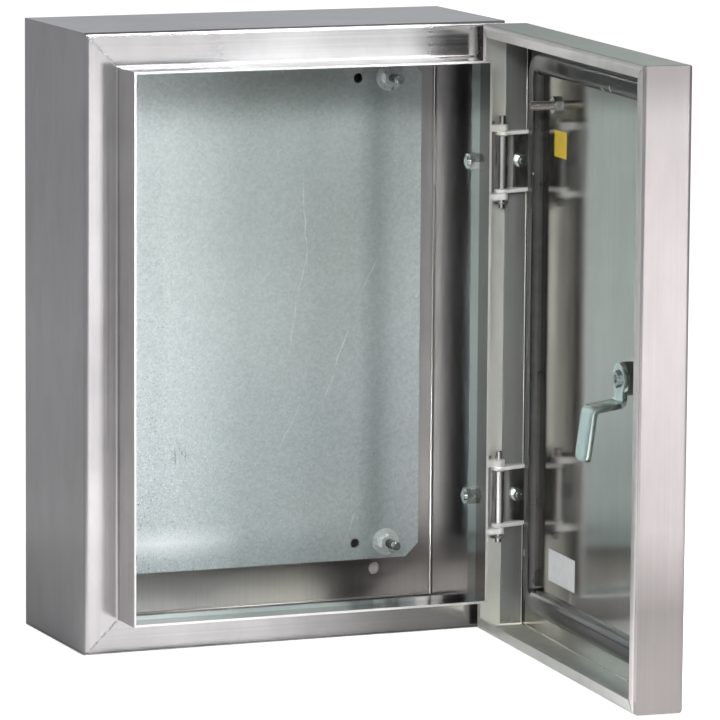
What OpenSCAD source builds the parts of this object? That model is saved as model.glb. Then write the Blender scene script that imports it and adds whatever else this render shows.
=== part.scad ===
// Steel wall enclosure with a hinged door, a galvanised mounting plate and a quarter-turn lock.
// Front faces -Y, the wall is at y = 0, and the origin is the middle of the wall hole pattern.

/* [Body] */
// Width across the side walls
body_w = 290; // [240:5:400]
// Height of the body and its opening frame
body_h = 400; // [340:10:600]
// Depth from the wall to the front flange
body_d = 116; // [90:2:200]
// Thickness of the body and door sheet
sheet = 1.5; // [1.2:0.1:2]
// Outer radius of the bends in the sheet
bend_r = 3; // [2.4:0.2:4]
// From the body's outside to the collar round the opening
collar_inset = 22.5; // [21.5:0.5:26]

/* [Wall holes] */
// Diameter of the four holes in the back
wall_hole_d = 8; // [6:0.5:10]
// From the side of the body to a wall hole
wall_hole_side = 43; // [36:1:52]
// From the top or bottom of the body to a wall hole
wall_hole_end = 22; // [18:1:24]

/* [Mounting plate] */
// Thickness of the galvanised plate
plate_t = 2; // [1.5:0.5:3]
// Gap between the plate and each side wall
plate_side_gap = 19; // [14:1:24]
// Gap between the plate and the top or bottom wall
plate_end_gap = 31.5; // [28:0.5:40]
// From the back panel to the plate
plate_standoff = 20.5; // [14:0.5:30]
// Length of the cut-off plate corners along each edge
plate_chamfer = 9; // [3:1:12]
// From the plate's side edge to a stud
stud_side = 23.5; // [20:0.5:30]
// From the plate's top or bottom edge to a stud
stud_end = 11; // [10:0.5:14]
// Diameter of the welded studs
stud_d = 6; // [6:1:8]
// Length of stud that shows in front of its nut
stud_free = 14; // [4:1:18]
// Outer diameter of the stud washers
stud_washer_d = 18; // [16:1:19]
// Diameter of the spare hole beside each stud
spare_hole_d = 6.5; // [4:0.5:8]
// From each stud to the spare hole beside it
spare_hole_step = 22; // [16:1:30]

/* [Door] */
// Depth of the door pan
door_d = 33; // [31:0.5:38]
// Gap between the closed door and the front flange
door_gap = 5; // [4.5:0.5:6]
// How far the door stops short of the body's top and bottom
door_reveal = 1; // [0:0.5:2]
// Width of the lips that return inside the rim
lip_w = 8; // [6:0.5:9]
// Angle that the door stands open at rest
door_open = 86; // [60:1:110]
// Width of the slit between two lips at a corner
lip_slit = 1; // [0.6:0.1:1.4]
// Thickness of the doubler strip on the hinge side
doubler_t = 1.5; // [1:0.1:2]
// Width of the doubler strip
doubler_w = 15.5; // [14:0.5:17]

/* [Gasket] */
// Width of the rubber seal
gasket_w = 16; // [10:1:18]
// Height of the rubber seal above the door panel
gasket_h = 6; // [4:0.5:8]
// Corner radius of the seal along its middle line
gasket_turn = 10; // [9.5:0.5:16]
// Rounding of the seal's upper edges
gasket_round = 5; // [1:0.5:5.5]
// Play between the seal and the collar
seal_play = 0.3; // [0.2:0.1:0.5]

/* [Hinges] */
// Distance between the middles of the two hinges
hinge_pitch = 220; // [160:5:260]
// From the side of the body to the hinge axis
hinge_inset = 9.3; // [9:0.1:9.8]
// From the front flange forward to the hinge axis
hinge_forward = 16; // [15.5:0.1:17]
// Diameter of the hinge pin
pin_d = 4.6; // [4:0.1:5]
// Length of the hinge pin
pin_len = 61; // [59:1:66]
// Radial play of the turning ears and the sleeve on the pin
pin_play = 0.08; // [0.05:0.01:0.1]
// Outer diameter of the sleeve on the pin
sleeve_d = 6.4; // [6:0.1:7.2]
// Distance between the outer faces of the two fixed lugs
lug_span = 48.8; // [46:0.4:54]
// Thickness of a fixed lug
lug_t = 4; // [3:0.5:5]
// Radius of the rounded end of the lugs and ears
lug_r = 4.2; // [4:0.1:4.4]
// Thickness of the base of the fixed bracket
bracket_t = 2; // [1.5:0.5:2.5]
// Thickness of an ear on the door bracket
ear_t = 2.4; // [2:0.2:3]
// Play along the axis between an ear and the lug or sleeve beside it
ear_play = 0.3; // [0.2:0.1:0.5]
// Width of the door bracket's base
web_w = 10.5; // [9.5:0.5:11]
// Diameter of the bolt that holds the fixed bracket
bracket_bolt_d = 6; // [5:1:6]
// From the front flange forward to that bolt
bracket_bolt_y = 6; // [6:0.5:6.5]
// Diameter of the stud that holds the door bracket
door_stud_d = 4; // [3:1:5]

/* [Lock] */
// From the free edge of the door to the lock
lock_inset = 60; // [56:1:66]
// Diameter of the lock's barrel
lock_d = 21; // [18:0.5:22]
// Diameter of the lock's outer flange
lock_flange_d = 28; // [26:1:30]
// Height of the lock's outer flange
lock_flange_h = 4; // [3:0.5:5]
// Diameter of the turning insert
insert_d = 13; // [11:0.5:14]
// Width of the lever
lever_w = 20; // [16:1:22]
// Thickness of the lever
lever_t = 3.2; // [2.5:0.1:3.5]
// From the insert's axis to the end of the lever
lever_len = 50; // [46:1:54]
// Offset between the lever's two flats
lever_crank = 20.5; // [19:0.5:22]
// From the insert's axis down to the lever's step
lever_step = 14; // [12.5:0.5:17]
// Play between the turned lever and the back of the front flange
latch_play = 0.6; // [0.4:0.1:1]

/* [Earthing] */
// Diameter of the earth stud on the door
earth_d = 6; // [5:1:8]
// Length of the earth stud
earth_len = 18.5; // [14:0.5:22]
// From the door's hinge side to the earth stud
earth_side = 56; // [50:1:70]
// From the door's top to the earth stud
earth_end = 48; // [40:1:60]

/* [Hidden] */
$fn = 48;
eps = 0.01;
hole_play = 0.25;
joint_play = 0.05;
front = -body_d;
back_in = -sheet;
collar_wall = collar_inset + sheet;
collar_h = door_gap + door_d - sheet - gasket_h - seal_play;
mitre_reach = collar_wall + bend_r;

door_h = body_h - 2 * door_reveal;
rim_y = front - door_gap;
door_out = rim_y - door_d;
panel_in = door_out + sheet;

plate_w = body_w - 2 * sheet - 2 * plate_side_gap;
plate_h = body_h - 2 * sheet - 2 * plate_end_gap;
plate_back = back_in - plate_standoff;
plate_front = plate_back - plate_t;
stud_x = plate_w / 2 - stud_side;
stud_z = plate_h / 2 - stud_end;
stud_washer_t = 1.6;
stud_nut_t = 0.8 * stud_d;
stud_nut_af = 1.625 * stud_d;
spacer_d = stud_d + 6;

wall_x = body_w / 2 - wall_hole_side;
wall_z = body_h / 2 - wall_hole_end;

gasket_inset = collar_inset + sheet / 2;

hinge_x = body_w / 2 - hinge_inset;
hinge_y = front - hinge_forward;
hinge_rows = [hinge_pitch / 2, -hinge_pitch / 2];
pin_r = pin_d / 2;
turn_r = pin_r + pin_play;
collar_out_x = body_w / 2 - collar_inset;
collar_in_x = collar_out_x - sheet;
bolt_y = front - bracket_bolt_y;
bolt_head_t = 0.6 * bracket_bolt_d;
bolt_nut_t = 0.8 * bracket_bolt_d;
bolt_af = 10 / 6 * bracket_bolt_d;
lug_in = lug_span / 2 - lug_t;
ear_out = lug_in - ear_play;
ear_in = ear_out - ear_t;
notch_play = 1.5;
notch_h = lug_span + 2 * notch_play;
notch_deep = 9;
doubler_x = body_w / 2 - sheet - doubler_t;
web_t = 2;
web_x = doubler_x - web_t;
web_front = panel_in + 0.5;
web_y = web_front + web_w / 2;
clip_t = 0.8;
clip_d = pin_d + 4.4;
groove_deep = 0.5;
clip_z = -lug_span / 2 - clip_t - 2;
door_nut_t = 0.8 * door_stud_d;
door_nut_af = 1.75 * door_stud_d;
door_washer_t = 0.8;
door_washer_d = door_nut_af + 2;

lock_x = -body_w / 2 + lock_inset;
lever_tip_y = front + sheet + latch_play;
lever_top_y = lever_tip_y - lever_crank;
lock_end = lever_top_y - joint_play;
lock_nut_t = 5;
lock_nut_af = lock_d + 6;
square_w = 7;
insert_r = insert_d / 2;
lever_bend = 2.4;
neck_w = 0.72 * lever_w;
screw_head_d = 11;
screw_head_t = 3;

earth_x = body_w / 2 - earth_side;
earth_z = door_h / 2 - earth_end;
earth_nut_t = 0.5 * earth_d;
earth_nut_af = 10 / 6 * earth_d;

steel = [0.80, 0.80, 0.82];
dark_steel = [0.62, 0.62, 0.64];
zinc = [0.72, 0.76, 0.74];
black = [0.12, 0.12, 0.12];

// A quarter of a bend: its centre, the signs of the quadrant that it fills, its outer radius and thickness.
module bend_quarter(centre, su, sv, r = bend_r, t = sheet) {
    translate(centre)
        intersection() {
            difference() {
                circle(r = r);
                circle(r = r - t);
            }
            translate([su > 0 ? 0 : -r - 1, sv > 0 ? 0 : -r - 1])
                square(r + 1);
        }
}

// One side of a frame: a profile drawn in X and Y, run along Z and cut at 45 degrees at both ends.
module mitred_side(across, along, reach) {
    out = 1;
    intersection() {
        translate([-across / 2, 0, 0])
            linear_extrude(along, center = true)
                children();
        rotate([90, 0, 0])
            linear_extrude(4 * body_d, center = true)
                polygon([
                    [-across / 2 - out, -along / 2 - out],
                    [-across / 2 + reach, -along / 2 + reach],
                    [-across / 2 + reach, along / 2 - reach],
                    [-across / 2 - out, along / 2 + out]
                ]);
    }
}

// Four mitred sides round a rectangle.
module mitred_frame(w, h, reach) {
    for (side = [0, 1]) {
        mirror([side, 0, 0])
            mitred_side(w, h, reach)
                children();
        rotate([0, 90 + 180 * side, 0])
            mitred_side(h, w, reach)
                children();
    }
}

// A hexagon prism along Z with two flats facing X, and a round hole through it.
module hex_nut(af, t, hole_d) {
    difference() {
        rotate([0, 0, 30])
            cylinder(h = t, d = af / cos(30), $fn = 6);
        translate([0, 0, -1])
            cylinder(h = t + 2, d = hole_d);
    }
}

// Points of a rectangular pattern, at plus and minus x and z.
module at_four(x, z) {
    for (sx = [-1, 1])
        for (sz = [-1, 1])
            translate([sx * x, 0, sz * z])
                children();
}

// Carries the door's pieces from their closed place to the rest pose.
module on_door() {
    translate([hinge_x, hinge_y, 0])
        rotate([0, 0, door_open])
            translate([-hinge_x, -hinge_y, 0])
                children();
}

// A cylinder that points towards the front, -Y, from y = 0.
module forward_rod(d, len) {
    rotate([90, 0, 0])
        cylinder(d = d, h = len);
}

module shell_profile() {
    inner_turn = [collar_wall - bend_r, sheet - bend_r];
    translate([0, front]) {
        translate([0, bend_r])
            square([sheet, body_d - bend_r]);
        bend_quarter([bend_r, bend_r], -1, -1);
        translate([bend_r, 0])
            square([inner_turn[0] - bend_r, sheet]);
        bend_quarter(inner_turn, 1, 1);
        translate([collar_inset, -collar_h])
            square([sheet, collar_h + inner_turn[1]]);
    }
}

module body_shell() {
    color(steel)
        difference() {
            mitred_frame(body_w, body_h, mitre_reach)
                shell_profile();
            for (z = hinge_rows)
                translate([collar_in_x - 1, bolt_y, z])
                    rotate([0, 90, 0])
                        cylinder(d = bracket_bolt_d + 2 * hole_play, h = sheet + 2);
        }
}

module back_panel() {
    color(dark_steel)
        difference() {
            translate([-body_w / 2 + sheet, back_in, -body_h / 2 + sheet])
                cube([body_w - 2 * sheet, sheet, body_h - 2 * sheet]);
            at_four(wall_x, wall_z)
                translate([0, 1, 0])
                    forward_rod(wall_hole_d, sheet + 2);
        }
}

module mounting_plate() {
    c = plate_chamfer;
    x = plate_w / 2;
    z = plate_h / 2;
    color(zinc)
        difference() {
            translate([0, plate_back, 0])
                rotate([90, 0, 0])
                    linear_extrude(plate_t)
                        polygon([
                            [-x, c - z], [c - x, -z], [x - c, -z], [x, c - z],
                            [x, z - c], [x - c, z], [c - x, z], [-x, z - c]
                        ]);
            at_four(stud_x, stud_z)
                translate([0, plate_back + 1, 0])
                    forward_rod(stud_d + 2 * hole_play, plate_t + 2);
            at_four(stud_x - spare_hole_step, stud_z)
                translate([0, plate_back + 1, 0])
                    forward_rod(spare_hole_d, plate_t + 2);
        }
}

module plate_studs() {
    shown = stud_washer_t + stud_nut_t + stud_free;
    color(zinc)
        at_four(stud_x, stud_z)
            translate([0, back_in, 0])
                forward_rod(stud_d, plate_standoff + plate_t + shown);
}

module plate_spacers() {
    color(zinc)
        at_four(stud_x, stud_z)
            translate([0, back_in, 0])
                difference() {
                    forward_rod(spacer_d, plate_standoff);
                    translate([0, 1, 0])
                        forward_rod(stud_d + 2 * hole_play, plate_standoff + 2);
                }
}

module plate_washers() {
    color(zinc)
        at_four(stud_x, stud_z)
            translate([0, plate_front, 0])
                difference() {
                    forward_rod(stud_washer_d, stud_washer_t);
                    translate([0, 1, 0])
                        forward_rod(stud_d + 2 * hole_play, stud_washer_t + 2);
                }
}

module plate_nuts() {
    color(zinc)
        at_four(stud_x, stud_z)
            translate([0, plate_front - stud_washer_t, 0])
                rotate([90, 0, 0])
                    hex_nut(stud_nut_af, stud_nut_t, stud_d);
}

// The fixed half of a hinge: a base on the collar's outside, with two lugs bent off it.
module body_bracket(z) {
    base_y = front - bend_r + sheet;
    base_w = base_y - (hinge_y - lug_r);
    color(zinc)
        translate([0, 0, z])
            difference() {
                union() {
                    translate([collar_out_x, hinge_y - lug_r, -lug_span / 2])
                        cube([bracket_t, base_w, lug_span]);
                    for (side = [0, 1])
                        mirror([0, 0, side])
                            translate([0, 0, lug_in])
                                lug();
                }
                translate([0, 0, -lug_span])
                    translate([hinge_x, hinge_y, 0])
                        cylinder(r = pin_r + joint_play, h = 2 * lug_span);
                translate([collar_out_x - 1, bolt_y, 0])
                    rotate([0, 90, 0])
                        cylinder(d = bracket_bolt_d + 2 * hole_play, h = bracket_t + 2);
            }
}

module lug() {
    translate([hinge_x, hinge_y, 0])
        cylinder(r = lug_r, h = lug_t);
    translate([collar_out_x, hinge_y - lug_r, 0])
        cube([hinge_x - collar_out_x, 2 * lug_r, lug_t]);
}

module hinge_pin(z) {
    tip = 0.6;
    color(zinc)
        translate([hinge_x, hinge_y, z])
            rotate_extrude()
                polygon([
                    [0, -pin_len / 2], [pin_r - tip, -pin_len / 2], [pin_r, -pin_len / 2 + tip],
                    [pin_r, clip_z], [pin_r - groove_deep, clip_z],
                    [pin_r - groove_deep, clip_z + clip_t], [pin_r, clip_z + clip_t],
                    [pin_r, pin_len / 2 - tip], [pin_r - tip, pin_len / 2], [0, pin_len / 2]
                ]);
}

// A retaining clip snapped into the pin's groove, open at one side.
module pin_clip(z) {
    mouth = pin_d - 2 * groove_deep;
    color(dark_steel)
        translate([hinge_x, hinge_y, z + clip_z])
            difference() {
                cylinder(d = clip_d, h = clip_t);
                translate([0, 0, -1])
                    cylinder(r = pin_r - groove_deep, h = clip_t + 2);
                translate([0, -mouth / 2, -1])
                    cube([clip_d, mouth, clip_t + 2]);
            }
}

module bracket_bolt(z) {
    shank = bracket_t + sheet + bolt_nut_t + 1.5;
    color(zinc)
        translate([collar_out_x + bracket_t, bolt_y, z]) {
            rotate([0, 90, 0])
                rotate([0, 0, 30])
                    cylinder(h = bolt_head_t, d = bolt_af / cos(30), $fn = 6);
            rotate([0, -90, 0])
                cylinder(d = bracket_bolt_d, h = shank);
        }
}

module bracket_nut(z) {
    color(zinc)
        translate([collar_in_x, bolt_y, z])
            rotate([0, -90, 0])
                hex_nut(bolt_af, bolt_nut_t, bracket_bolt_d);
}

module door_profile() {
    translate([0, rim_y])
        mirror([0, 1]) {
            translate([bend_r, 0])
                square([lip_w - bend_r, sheet]);
            bend_quarter([bend_r, bend_r], -1, -1);
            translate([0, bend_r])
                square([sheet, door_d - 2 * bend_r]);
            bend_quarter([bend_r, door_d - bend_r], -1, 1);
            translate([bend_r, door_d - sheet])
                square([mitre_reach - bend_r, sheet]);
        }
}

module door_pan() {
    panel_edge = mitre_reach - 2;
    slit_in = 2 * sheet;
    color(steel)
        on_door()
            difference() {
                union() {
                    mitred_frame(body_w, door_h, mitre_reach)
                        door_profile();
                    translate([panel_edge - body_w / 2, door_out, panel_edge - door_h / 2])
                        cube([body_w - 2 * panel_edge, sheet, door_h - 2 * panel_edge]);
                }
                for (sx = [-1, 1])
                    for (sz = [-1, 1])
                        translate([sx * (body_w / 2 - slit_in), rim_y + 1, sz * (door_h / 2 - slit_in)])
                            rotate([90, sx * sz > 0 ? 45 : -45, 0])
                                translate([-lip_slit / 2, sz > 0 ? -2 * lip_w : 0, 0])
                                    cube([lip_slit, 2 * lip_w, sheet + 1.5]);
                for (z = hinge_rows)
                    translate([body_w / 2 - lip_w - 1, rim_y - notch_deep, z - notch_h / 2])
                        cube([lip_w + 2, notch_deep + 1, notch_h]);
                translate([lock_x, panel_in + 1, 0])
                    forward_rod(lock_d + 2 * hole_play, sheet + 2);
            }
}

module hinge_doubler() {
    inner_h = door_h - 2 * sheet;
    color(steel)
        on_door()
            translate([doubler_x, panel_in + sheet, -inner_h / 2 + sheet])
                cube([doubler_t, doubler_w - sheet, inner_h - 2 * sheet]);
}

// The seal's section: a flat base on the panel and rounded upper edges.
module gasket_section() {
    r = min(gasket_round, gasket_h - 0.5, gasket_w / 2 - 0.5);
    translate([-gasket_w / 2, 0])
        square([gasket_w, gasket_h - r]);
    translate([r - gasket_w / 2, gasket_h - r - eps])
        square([gasket_w - 2 * r, r + eps]);
    for (side = [-1, 1])
        intersection() {
            translate([side * (gasket_w / 2 - r), gasket_h - r])
                circle(r = r);
            translate([-gasket_w / 2, 0])
                square([gasket_w, gasket_h]);
        }
}

module gasket() {
    x = body_w / 2 - gasket_inset;
    z = body_h / 2 - gasket_inset;
    color(black)
        on_door()
            translate([0, panel_in, 0])
                rotate([-90, 0, 0]) {
                    for (side = [0, 1])
                        mirror([side, 0, 0])
                            translate([x, 0, 0])
                                rotate([90, 0, 0])
                                    linear_extrude(2 * (z - gasket_turn), center = true)
                                        gasket_section();
                    for (side = [0, 1])
                        mirror([0, side, 0])
                            translate([0, z, 0])
                                rotate([90, 0, 90])
                                    linear_extrude(2 * (x - gasket_turn), center = true)
                                        gasket_section();
                    for (sx = [0, 1])
                        for (sz = [0, 1])
                            mirror([sx, 0, 0])
                                mirror([0, sz, 0])
                                    translate([x - gasket_turn, z - gasket_turn, 0])
                                        rotate_extrude(angle = 90)
                                            translate([gasket_turn, 0])
                                                gasket_section();
                }
}

// The moving half of a hinge: a base on the doubler and two ears that reach the pin.
module door_bracket(z) {
    color(zinc)
        on_door()
            translate([0, 0, z])
                difference() {
                    union() {
                        translate([web_x, web_front, -ear_out])
                            cube([web_t, web_w, 2 * ear_out]);
                        for (side = [0, 1])
                            mirror([0, 0, side])
                                translate([0, 0, ear_in])
                                    ear();
                    }
                    translate([hinge_x, hinge_y, -lug_span])
                        cylinder(r = turn_r, h = 2 * lug_span);
                    translate([web_x - 1, web_y, 0])
                        rotate([0, 90, 0])
                            cylinder(d = door_stud_d + 2 * hole_play, h = web_t + 2);
                }
}

module ear() {
    translate([hinge_x, hinge_y, 0])
        cylinder(r = lug_r, h = ear_t);
    linear_extrude(ear_t)
        polygon([
            [hinge_x + lug_r, hinge_y], [hinge_x - lug_r, hinge_y],
            [web_x - web_t, web_front + web_t], [web_x + web_t, web_front],
            [web_x + web_t, web_front + web_w]
        ]);
}

module hinge_sleeve(z) {
    sleeve_len = 2 * (ear_in - ear_play);
    color(steel)
        on_door()
            translate([hinge_x, hinge_y, z - sleeve_len / 2])
                difference() {
                    cylinder(d = sleeve_d, h = sleeve_len);
                    translate([0, 0, -1])
                        cylinder(r = turn_r, h = sleeve_len + 2);
                }
}

module door_stud(z) {
    shown = web_t + door_washer_t + door_nut_t + 0.8;
    color(zinc)
        on_door()
            translate([doubler_x, web_y, z])
                rotate([0, -90, 0])
                    cylinder(d = door_stud_d, h = shown);
}

// Nut with its washer flange, on the door bracket's stud.
module door_nut(z) {
    color(zinc)
        on_door()
            translate([web_x, web_y, z])
                rotate([0, -90, 0])
                    difference() {
                        union() {
                            cylinder(d = door_washer_d, h = door_washer_t);
                            hex_nut(door_nut_af, door_nut_t + door_washer_t, door_stud_d);
                        }
                        translate([0, 0, -1])
                            cylinder(d = door_stud_d, h = door_nut_t + 4);
                    }
}

module earth_stud() {
    tip = 0.8;
    r = earth_d / 2;
    color(zinc)
        on_door()
            translate([earth_x, panel_in, earth_z])
                rotate([-90, 0, 0])
                    rotate_extrude()
                        polygon([[0, 0], [r, 0], [r, earth_len - tip], [r - tip, earth_len], [0, earth_len]]);
}

module earth_nut() {
    color(zinc)
        on_door()
            translate([earth_x, panel_in, earth_z])
                rotate([-90, 0, 0])
                    hex_nut(earth_nut_af, earth_nut_t, earth_d);
}

module lock_body() {
    cup_r = insert_r + 1.5;
    color(black)
        on_door()
            translate([lock_x, 0, 0])
                difference() {
                    union() {
                        translate([0, door_out, 0])
                            forward_rod(lock_flange_d, lock_flange_h);
                        translate([0, lock_end, 0])
                            forward_rod(lock_d, lock_end - door_out + eps);
                    }
                    translate([0, lock_end + 1, 0])
                        forward_rod(insert_d + 2 * pin_play, lock_end - door_out + lock_flange_h + 2);
                    translate([0, door_out - lock_flange_h / 2, 0])
                        forward_rod(2 * cup_r, lock_flange_h);
                }
}

module lock_nut() {
    color(zinc)
        on_door()
            translate([lock_x, panel_in, 0])
                rotate([-90, 0, 0])
                    hex_nut(lock_nut_af, lock_nut_t, lock_d);
}

// The turning insert, with a double-bit keyway outside and a square for the lever inside.
module lock_insert() {
    key_r = 3.4;
    key_pin_d = 3;
    key_deep = 6;
    bit_w = 2;
    bit_out = key_r + 1.6;
    face_y = door_out - lock_flange_h + 1;
    color(zinc)
        on_door()
            translate([lock_x, 0, 0]) {
                difference() {
                    translate([0, lock_end, 0])
                        forward_rod(insert_d, lock_end - face_y);
                    translate([0, face_y + key_deep, 0])
                        difference() {
                            forward_rod(2 * key_r, key_deep + 1);
                            forward_rod(key_pin_d, key_deep + 1);
                        }
                    translate([-bit_out, face_y - 1, -bit_w / 2])
                        cube([2 * bit_out, key_deep - 1, bit_w]);
                }
                translate([-square_w / 2, lock_end - eps, -square_w / 2])
                    cube([square_w, lever_t + joint_play + eps, square_w]);
            }
}

// The lever's side view: two flats joined by a step, with rounded bends.
module lever_profile() {
    r = lever_bend + lever_t;
    step_end = lever_crank + lever_t - r;
    translate([0, r - lever_step - lever_t])
        square([lever_t, lever_step + lever_t - r + lever_w / 2]);
    bend_quarter([r, r - lever_step - lever_t], -1, -1, r, lever_t);
    translate([r, -lever_step - lever_t])
        square([step_end - r, lever_t]);
    bend_quarter([step_end, -lever_step - r], 1, 1, r, lever_t);
    translate([lever_crank, -lever_len])
        square([lever_t, lever_len - lever_step - r]);
}

// The lever's front view: a round head, a neck and a wider end with rounded corners.
module lever_outline() {
    half = lever_w / 2;
    neck = neck_w / 2;
    shoulder = lever_step - 1;
    toe_r = 4;
    circle(r = half);
    polygon([
        [-neck, 0], [neck, 0], [neck, shoulder - half + neck], [half, shoulder],
        [half, lever_len - toe_r], [half - toe_r, lever_len - toe_r], [half - toe_r, lever_len],
        [toe_r - half, lever_len], [toe_r - half, lever_len - toe_r], [-half, lever_len - toe_r],
        [-half, shoulder], [-neck, shoulder - half + neck]
    ]);
    for (side = [-1, 1])
        translate([side * (half - toe_r), lever_len - toe_r])
            circle(r = toe_r);
}

module cam_lever() {
    color(zinc)
        on_door()
            translate([lock_x, lever_top_y, 0])
                difference() {
                    intersection() {
                        rotate([90, 0, 90])
                            linear_extrude(lever_w, center = true)
                                lever_profile();
                        rotate([-90, 0, 0])
                            linear_extrude(lever_crank + lever_t)
                                lever_outline();
                    }
                    translate([0, lever_t / 2, 0])
                        cube(square_w + 2 * joint_play, center = true);
                }
}

// Hexagon screw and its washer, which hold the lever on the insert.
module lever_screw() {
    washer_t = 1.2;
    washer_d = screw_head_d + 3;
    color(zinc)
        on_door()
            translate([lock_x, lever_top_y + lever_t, 0])
                rotate([-90, 0, 0]) {
                    cylinder(d = washer_d, h = washer_t);
                    translate([0, 0, washer_t - eps])
                        rotate([0, 0, 30])
                            cylinder(d = screw_head_d, h = screw_head_t, $fn = 6);
                }
}

body_shell();
back_panel();
mounting_plate();
plate_studs();
plate_spacers();
plate_washers();
plate_nuts();
body_bracket(hinge_rows[0]);  // upper_body_bracket
body_bracket(hinge_rows[1]);  // lower_body_bracket
hinge_pin(hinge_rows[0]);  // upper_hinge_pin
hinge_pin(hinge_rows[1]);  // lower_hinge_pin
pin_clip(hinge_rows[0]);  // upper_pin_clip
pin_clip(hinge_rows[1]);  // lower_pin_clip
bracket_bolt(hinge_rows[0]);  // upper_bracket_bolt
bracket_bolt(hinge_rows[1]);  // lower_bracket_bolt
bracket_nut(hinge_rows[0]);  // upper_bracket_nut
bracket_nut(hinge_rows[1]);  // lower_bracket_nut
door_pan();
hinge_doubler();
gasket();
door_bracket(hinge_rows[0]);  // upper_door_bracket
door_bracket(hinge_rows[1]);  // lower_door_bracket
hinge_sleeve(hinge_rows[0]);  // upper_hinge_sleeve
hinge_sleeve(hinge_rows[1]);  // lower_hinge_sleeve
door_stud(hinge_rows[0]);  // upper_door_stud
door_stud(hinge_rows[1]);  // lower_door_stud
door_nut(hinge_rows[0]);  // upper_door_nut
door_nut(hinge_rows[1]);  // lower_door_nut
earth_stud();
earth_nut();
lock_body();
lock_nut();
lock_insert();
cam_lever();
lever_screw();
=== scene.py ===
"""A steel wall enclosure with its door open: the looks, small fixings, camera and light of the model."""
import math

import bmesh
import bpy
from mathutils import Matrix, Vector


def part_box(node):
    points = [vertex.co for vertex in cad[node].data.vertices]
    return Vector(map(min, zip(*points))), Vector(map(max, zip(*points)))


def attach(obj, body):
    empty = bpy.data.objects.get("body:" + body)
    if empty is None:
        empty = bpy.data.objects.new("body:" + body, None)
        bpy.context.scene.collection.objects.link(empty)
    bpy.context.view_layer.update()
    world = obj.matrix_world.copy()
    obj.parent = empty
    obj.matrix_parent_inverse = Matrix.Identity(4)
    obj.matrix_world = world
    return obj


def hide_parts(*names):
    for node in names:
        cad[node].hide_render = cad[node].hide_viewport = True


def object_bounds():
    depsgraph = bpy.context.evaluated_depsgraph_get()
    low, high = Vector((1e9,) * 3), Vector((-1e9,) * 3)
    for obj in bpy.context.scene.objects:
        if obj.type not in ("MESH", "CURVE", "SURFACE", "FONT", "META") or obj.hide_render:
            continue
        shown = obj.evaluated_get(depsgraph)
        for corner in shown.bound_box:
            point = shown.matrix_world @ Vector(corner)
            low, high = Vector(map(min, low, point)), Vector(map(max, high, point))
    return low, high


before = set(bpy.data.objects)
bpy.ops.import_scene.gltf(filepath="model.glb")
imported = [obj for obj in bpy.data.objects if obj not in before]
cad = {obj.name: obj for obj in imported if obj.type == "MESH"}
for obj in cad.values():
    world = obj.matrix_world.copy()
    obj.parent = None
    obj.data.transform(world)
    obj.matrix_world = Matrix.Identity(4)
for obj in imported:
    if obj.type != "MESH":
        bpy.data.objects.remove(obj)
cad_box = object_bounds()

# ---------------------------------------------------------------------------------------------
# Camera. It stands in front of the box, a little to its left and above its middle, and looks
# through a long lens, so the upright edges stay nearly parallel.
CAMERA_PLACE = (-1.3710, -3.5768, 0.5358)
CAMERA_YAW, CAMERA_PITCH, CAMERA_ROLL = 22.184, 8.923, 0.393
FOCAL_LENGTH, FILM_WIDTH = 291.62, 36
FILM_SHIFT = (0.0082, 0.0714)
camera_data = bpy.data.cameras.new("camera")
camera_data.lens, camera_data.sensor_width = FOCAL_LENGTH, FILM_WIDTH
camera_data.shift_x, camera_data.shift_y = FILM_SHIFT
camera = bpy.data.objects.new("camera", camera_data)
bpy.context.scene.collection.objects.link(camera)
camera.matrix_world = (
    Matrix.Translation(CAMERA_PLACE)
    @ Matrix.Rotation(math.radians(-CAMERA_YAW), 4, "Z")
    @ Matrix.Rotation(math.radians(90 - CAMERA_PITCH), 4, "X")
    @ Matrix.Rotation(math.radians(CAMERA_ROLL), 4, "Z")
)
bpy.context.scene.camera = camera
bpy.context.scene.view_settings.view_transform = "Standard"

# ---------------------------------------------------------------------------------------------
# Floor and light. The box stands on a wide pale floor under a grey sky. The floor glows, so that
# it reads as white, but only a tenth of the glow is mirrored in the steel.
FLOOR_GAP, FLOOR_SIZE = 0.0005, 40
FLOOR_COLOUR = (0.80, 0.79, 0.79, 1)
FLOOR_GLOW, MIRRORED_GLOW = 0.88, 0.10
SKY_LOW, SKY_HIGH, SKY_TOP = (0.52, 0.54, 0.56, 1), (0.22, 0.22, 0.23, 1), 0.6
bpy.ops.object.select_all(action="DESELECT")
bpy.ops.mesh.primitive_plane_add(size=FLOOR_SIZE, location=(0, 0, cad_box[0][2] - FLOOR_GAP))
floor = bpy.context.object
floor.name = "floor"
floor_paint = bpy.data.materials.new("pale_floor")
floor_paint.use_nodes = True
nodes, links = floor_paint.node_tree.nodes, floor_paint.node_tree.links
nodes["Principled BSDF"].inputs["Base Color"].default_value = FLOOR_COLOUR
nodes["Principled BSDF"].inputs["Roughness"].default_value = 0.9
ray = nodes.new("ShaderNodeLightPath")
seen = nodes.new("ShaderNodeMath")
seen.operation = "MAXIMUM"
seen_or_mirrored = nodes.new("ShaderNodeMath")
seen_or_mirrored.operation = "MULTIPLY_ADD"
seen_or_mirrored.inputs[1].default_value = MIRRORED_GLOW
glow_level = nodes.new("ShaderNodeMath")
glow_level.operation = "MULTIPLY"
glow_level.inputs[1].default_value = FLOOR_GLOW
glow = nodes.new("ShaderNodeEmission")
glow.inputs["Color"].default_value = (1, 1, 1, 1)
both = nodes.new("ShaderNodeAddShader")
links.new(ray.outputs["Is Camera Ray"], seen.inputs[0])
links.new(ray.outputs["Is Transmission Ray"], seen.inputs[1])
links.new(ray.outputs["Is Glossy Ray"], seen_or_mirrored.inputs[0])
links.new(seen.outputs[0], seen_or_mirrored.inputs[2])
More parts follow.
